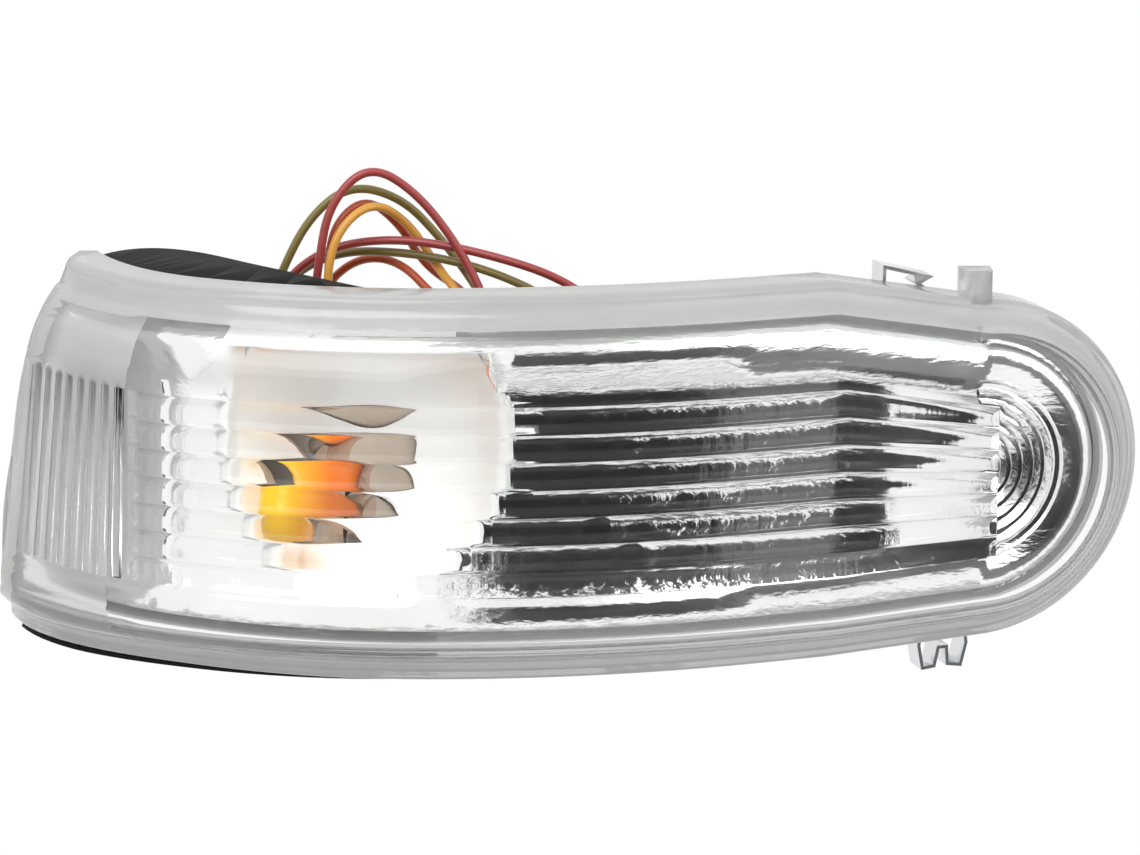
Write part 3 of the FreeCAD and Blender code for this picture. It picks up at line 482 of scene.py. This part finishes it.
def coatBehindBowl(piece, v):  # the coating carries on through the bowl's window onto the housing's inside
    piece.data.materials.append(bowlCoating)
    for face in piece.data.polygons:
        centre = face.center / mm - lampZero
        if face.normal.y < v["forward"] and fromBowl(centre) < v["radius"] and centre.y < v["back"]:
            face.material_index = 1


# the lens, with painted grey shade on its rim and wrapped end
paintRimShade(dressed("outer_lens", "clearLens", lensPlastic, leaning=True), rimShadeMaterial, rimShadeZone)
coatBowl(dressed("reflector", "brightReflector", brightCoating, leaning=True), bowlPlace)
coatBehindBowl(
    dressed("rear_housing", "housingShell", housingPlastic, leaning=True, evenShading=True), bowlPlace
)
dressed("lens_seal", "lensSeal", sealRubber, leaning=True)
dressed("bulb_glass", "amberBulb", bulbAmber)
dressed("bulb_filament", "bulbFilament", tungsten)
dressed("bulb_leads", "bulbLeads", springSteel)
dressed("bulb_holder", "bulbHolder", holderPlastic)
dressed("contact_upper", "contactUpper", stampedBrass)
dressed("contact_lower", "contactLower", stampedBrass)
dressed("holder_seal", "holderSeal", sealRubber)
dressed("wire_boot", "wireBoot", sealRubber)
dressed("upper_clip", "upperClip", springSteel)
dressed("lower_clip", "lowerClip", springSteel)
dressed("vent_cap", "ventCap", plugPlastic)
print("pieces dressed")


# Ridges round the insert's tip: a grid bent into rings, with every other row raised

tipRidges = {
    "rows": 10, "steps": 48, "inner": 1.2, "pitch": 2.25, "rise": 0.9, "thickness": 0.3, "depth": 11.95,
}


def ridgeTree(mat):
    tree = bpy.data.node_groups.new("tipRidges", "GeometryNodeTree")
    tree.interface.new_socket("Geometry", in_out="INPUT", socket_type="NodeSocketGeometry")
    for label, kind in (
        ("Rows", "NodeSocketInt"), ("Steps", "NodeSocketInt"), ("Inner", "NodeSocketFloat"),
        ("Pitch", "NodeSocketFloat"), ("Rise", "NodeSocketFloat"), ("Thickness", "NodeSocketFloat"),
        ("Centre", "NodeSocketVector"), ("Turn", "NodeSocketRotation"),
    ):
        tree.interface.new_socket(label, in_out="INPUT", socket_type=kind)
    tree.interface.new_socket("Geometry", in_out="OUTPUT", socket_type="NodeSocketGeometry")
    link = tree.links.new
    start, end = tree.nodes.new("NodeGroupInput"), tree.nodes.new("NodeGroupOutput")

    def maths(kind, a, b=None):
        node = tree.nodes.new("ShaderNodeMath")
        node.operation = kind
        for socket, value in zip(node.inputs, (a, b)):
            if isinstance(value, (int, float)):
                socket.default_value = value
            elif value is not None:
                link(value, socket)
        return node.outputs[0]

    lines = maths("MULTIPLY_ADD", start.outputs["Rows"], 2.0)
    lines.node.inputs[2].default_value = 1.0  # a foot line each side of every crest
    grid = tree.nodes.new("GeometryNodeMeshGrid")
    grid.inputs["Size X"].default_value = 1.0
    grid.inputs["Size Y"].default_value = 1.0
    link(lines, grid.inputs["Vertices X"])
    link(start.outputs["Steps"], grid.inputs["Vertices Y"])
    where = tree.nodes.new("GeometryNodeInputPosition")
    split = tree.nodes.new("ShaderNodeSeparateXYZ")
    link(where.outputs[0], split.inputs[0])
    across = maths("ADD", split.outputs["X"], 0.5)
    row = maths("MULTIPLY", across, maths("SUBTRACT", lines, 1.0))
    whole = maths("ROUND", row)
    radius = maths("ADD", maths("MULTIPLY", maths("MULTIPLY", whole, 0.5), start.outputs["Pitch"]),
                   start.outputs["Inner"])
    angle = maths("MULTIPLY", split.outputs["Y"], math.pi)  # a half turn, from below to above
    crest = maths("MULTIPLY", maths("MODULO", whole, 2.0), start.outputs["Rise"])
    spot = tree.nodes.new("ShaderNodeCombineXYZ")
    link(maths("MULTIPLY", maths("COSINE", angle), radius), spot.inputs["X"])
    link(maths("MULTIPLY", maths("SINE", angle), radius), spot.inputs["Y"])
    link(crest, spot.inputs["Z"])
    bent = tree.nodes.new("GeometryNodeSetPosition")
    link(grid.outputs["Mesh"], bent.inputs["Geometry"])
    link(spot.outputs[0], bent.inputs["Position"])
    front = tree.nodes.new("GeometryNodeExtrudeMesh")
    front.inputs["Individual"].default_value = False
    back = tree.nodes.new("GeometryNodeFlipFaces")
    both = tree.nodes.new("GeometryNodeJoinGeometry")
    sealed = tree.nodes.new("GeometryNodeMergeByDistance")
    sealed.inputs["Distance"].default_value = sameSpot / 2
    upright = tree.nodes.new("ShaderNodeCombineXYZ")
    link(start.outputs["Thickness"], upright.inputs["Z"])
    link(bent.outputs[0], front.inputs["Mesh"])
    link(upright.outputs[0], front.inputs["Offset"])
    link(bent.outputs[0], back.inputs[0])
    link(front.outputs["Mesh"], both.inputs[0])
    link(back.outputs[0], both.inputs[0])
    link(both.outputs[0], sealed.inputs["Geometry"])
    moved = tree.nodes.new("GeometryNodeTransform")
    link(sealed.outputs[0], moved.inputs["Geometry"])
    link(start.outputs["Centre"], moved.inputs["Translation"])
    link(start.outputs["Turn"], moved.inputs["Rotation"])
    real = tree.nodes.new("GeometryNodeRealizeInstances")
    link(moved.outputs[0], real.inputs[0])
    paint = tree.nodes.new("GeometryNodeSetMaterial")
    paint.inputs["Material"].default_value = mat
    link(real.outputs[0], paint.inputs["Geometry"])
    link(paint.outputs[0], end.inputs[0])
    return tree


def grown(name, tree, values):  # runs a tree on an empty mesh and keeps the result as a plain one
    piece = bpy.data.objects.new(name, bpy.data.meshes.new(name))
    bpy.context.scene.collection.objects.link(piece)
    maker = piece.modifiers.new("maker", "NODES")
    maker.node_group = tree
    sockets = {item.name: item.identifier for item in tree.interface.items_tree if item.in_out == "INPUT"}
    for label, value in values.items():
        maker[sockets[label]] = value
    bpy.context.view_layer.update()
    made = bpy.data.meshes.new_from_object(piece.evaluated_get(bpy.context.evaluated_depsgraph_get()))
    piece.modifiers.remove(maker)
    piece.data = made
    made.name = name
    return piece


def makeTipRidges(v):
    centre = tipPoint + inward * v["depth"] + Vector((0, 0, outline["tipMiddle"]))
    basis = (heading, Vector((0, 0, 1)), -inward)
    turn = Matrix([[axis[i] for axis in basis] for i in range(3)]).to_euler()
    piece = grown("tipRidges", ridgeTree(brightCoating), {
        "Rows": v["rows"], "Steps": v["steps"], "Inner": v["inner"] * mm, "Pitch": v["pitch"] * mm,
        "Rise": v["rise"] * mm, "Thickness": v["thickness"] * mm, "Centre": (centre + lampZero) * mm,
        "Turn": turn,
    })
    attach(piece, root)


makeTipRidges(tipRidges)
print("tip ridges grown")


# Studio: white surroundings, and grey cards in front that only the shiny surfaces see

studio = {
    "world": 0.75, "white": 1.0, "aim": (0.07, -0.03, 0.02),
    "floor": {"drop": 1.30, "size": 9.0, "middle": 0.07, "color": (0.8, 0.8, 0.8, 1), "roughness": 0.9},
    "lights": {  # watts, size, centre
        "keyLight": (9.0, 0.9, (-0.35, -0.8, 1.1)),
        "fillLight": (5.0, 1.2, (1.1, -0.9, 0.5)),
    },
    "cards": {  # centre, size, turn about the upright, grey
        "darkCard": ((0.365, -0.80, -0.17), (0.51, 0.96), 0, 0.003),
        "middleCard": ((0.82, -0.80, -0.17), (0.40, 0.96), 0, 0.16),
        "greyCard": ((-0.95, -0.12, -0.20), (0.50, 0.60), -80, 0.60),
    },
}


def whiteToCamera(tree, plain, strength):  # pure white where it is seen, in gloss and glass too
    glow = tree.nodes.new("ShaderNodeEmission")
    glow.inputs["Strength"].default_value = strength
    path = tree.nodes.new("ShaderNodeLightPath")
    seenDirectly = tree.nodes.new("ShaderNodeMath")
    seenDirectly.operation = "MAXIMUM"
    seenAnyhow = tree.nodes.new("ShaderNodeMath")
    seenAnyhow.operation = "MAXIMUM"
    mix = tree.nodes.new("ShaderNodeMixShader")
    tree.links.new(path.outputs["Is Camera Ray"], seenDirectly.inputs[0])
    tree.links.new(path.outputs["Is Transmission Ray"], seenDirectly.inputs[1])
    tree.links.new(seenDirectly.outputs[0], seenAnyhow.inputs[0])
    tree.links.new(path.outputs["Is Glossy Ray"], seenAnyhow.inputs[1])
    tree.links.new(seenAnyhow.outputs[0], mix.inputs["Fac"])
    tree.links.new(plain, mix.inputs[1])
    tree.links.new(glow.outputs["Emission"], mix.inputs[2])
    return mix.outputs["Shader"]


def makePanel(name, size, centre, turn):
    w, h = size[0] / 2, size[1] / 2
    mesh = bpy.data.meshes.new(name)
    mesh.from_pydata([(-w, -h, 0), (w, -h, 0), (w, h, 0), (-w, h, 0)], [], [(0, 1, 2, 3)])
    panel = bpy.data.objects.new(name, mesh)
    panel.location = centre
    panel.rotation_euler = turn
    bpy.context.scene.collection.objects.link(panel)
    return panel


def makeWorld(v):
    world = bpy.data.worlds.new("whiteRoom")
    bpy.context.scene.world = world
    world.use_nodes = True
    tree = world.node_tree
    sky = tree.nodes["Background"]
    sky.inputs["Color"].default_value = (1, 1, 1, 1)
    sky.inputs["Strength"].default_value = v["world"]
    room = whiteToCamera(tree, sky.outputs["Background"], v["white"])
    tree.links.new(room, tree.nodes["World Output"].inputs["Surface"])


def makeFloor(v):
    floor = v["floor"]
    size = (floor["size"], floor["size"])
    panel = makePanel("paleFloor", size, (floor["middle"], 0, cadBox[0].z - floor["drop"]), (0, 0, 0))
    mat, tree, shader = newMaterial("paleFloor", Base_Color=floor["color"], Roughness=floor["roughness"])
    pale = whiteToCamera(tree, shader.outputs["BSDF"], v["white"])
    tree.links.new(pale, tree.nodes["Material Output"].inputs["Surface"])
    panel.data.materials.append(mat)


def makeCards(v):
    for name, (centre, size, turn, grey) in v["cards"].items():
        card = makePanel(name, size, centre, (math.radians(90), 0, math.radians(turn)))
        card.data.materials.append(newMaterial(name, Base_Color=(grey, grey, grey, 1), Roughness=1.0)[0])
        card.visible_camera = False
        card.visible_diffuse = False
        card.visible_shadow = False


def makeLights(v):
    for name, (power, size, centre) in v["lights"].items():
        data = bpy.data.lights.new(name, "AREA")
        data.energy = power
        data.size = size
        light = bpy.data.objects.new(name, data)
        light.location = centre
        light.rotation_euler = (Vector(v["aim"]) - Vector(centre)).to_track_quat("-Z", "Y").to_euler()
        bpy.context.scene.collection.objects.link(light)


makeWorld(studio)
makeFloor(studio)
makeCards(studio)
makeLights(studio)
bpy.context.scene.view_settings.view_transform = "Standard"
print("studio lit")
